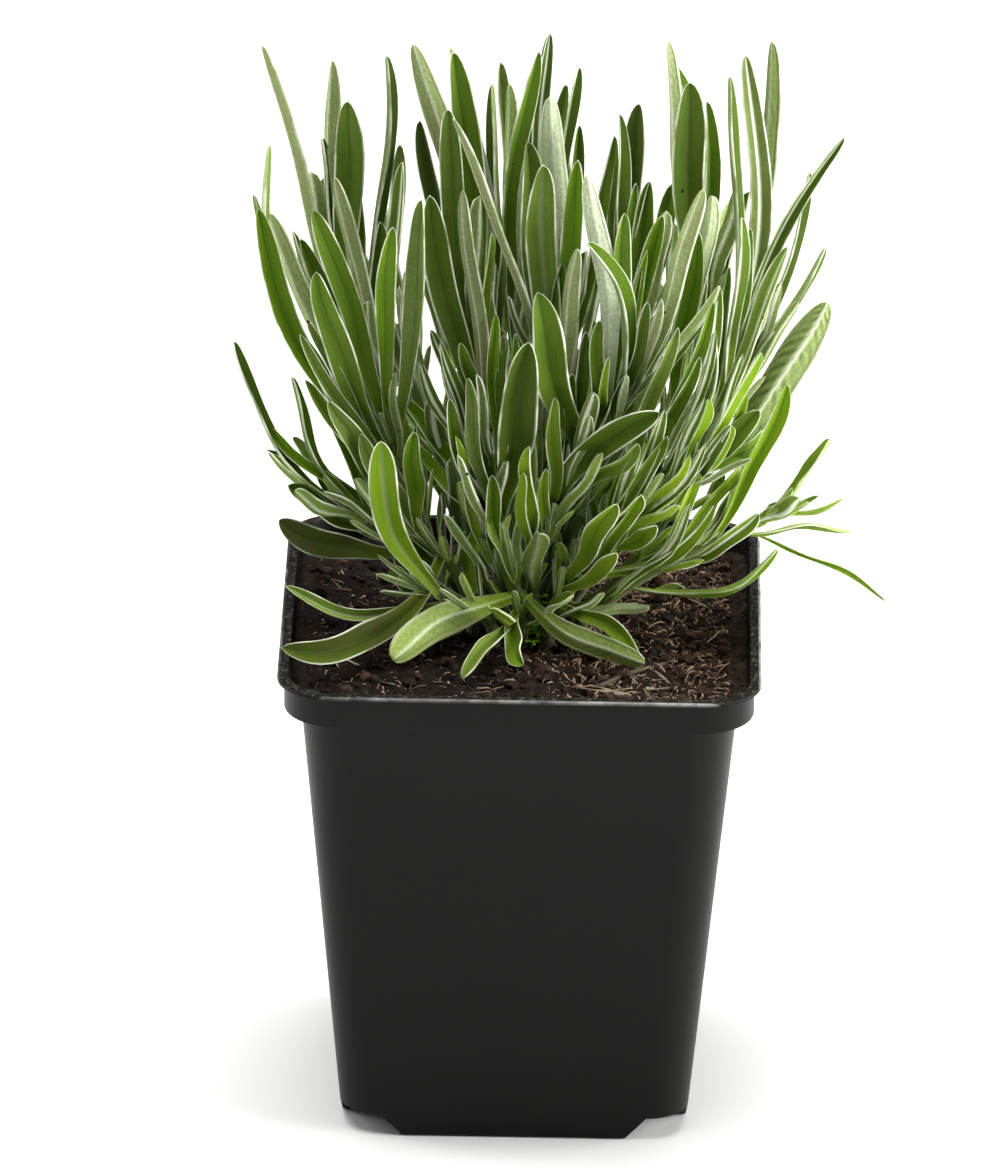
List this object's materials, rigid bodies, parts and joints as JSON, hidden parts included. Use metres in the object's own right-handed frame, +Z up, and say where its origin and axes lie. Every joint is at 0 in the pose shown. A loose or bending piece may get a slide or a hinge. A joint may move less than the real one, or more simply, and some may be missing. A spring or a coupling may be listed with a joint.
{
  "type": "potted lavender",
  "caption": "Young lavender plant without flowers: narrow grey-green leaves on short stems, in compost in a square black nursery pot.",
  "frame": {"origin": "centre of the flat underside of the pot, on the plane that it stands on", "axes": "+Z up along the pot's axis, -Y towards the plant's front, +X to the right as seen from the front"},
  "size_m": [0.123, 0.0938, 0.202],
  "materials": {
    "pot_plastic": "satin",
    "compost": "matte",
    "leaves": "matte"
  },
  "bodies": {
    "root": {"pot": "pot_plastic", "soil": "compost", "shoot_front_crown": "leaves", "shoot_front_left_low": "leaves", "shoot_front_right": "leaves", "shoot_left_droop": "leaves", "shoot_front_mid": "leaves", "shoot_front_right_up": "leaves", "shoot_right_mid": "leaves", "shoot_right_low": "leaves", "shoot_far_left_low": "leaves", "shoot_left_main": "leaves", "shoot_centre_left": "leaves", "shoot_centre": "leaves", "shoot_centre_right": "leaves", "shoot_right": "leaves", "shoot_left_back": "leaves", "shoot_centre_back": "leaves", "shoot_right_mid_back": "leaves", "shoot_right_back": "leaves", "shoot_back_left": "leaves", "shoot_back_mid_left": "leaves", "shoot_back_mid_right": "leaves", "shoot_back_right": "leaves"}
  },
  "joints": []
}
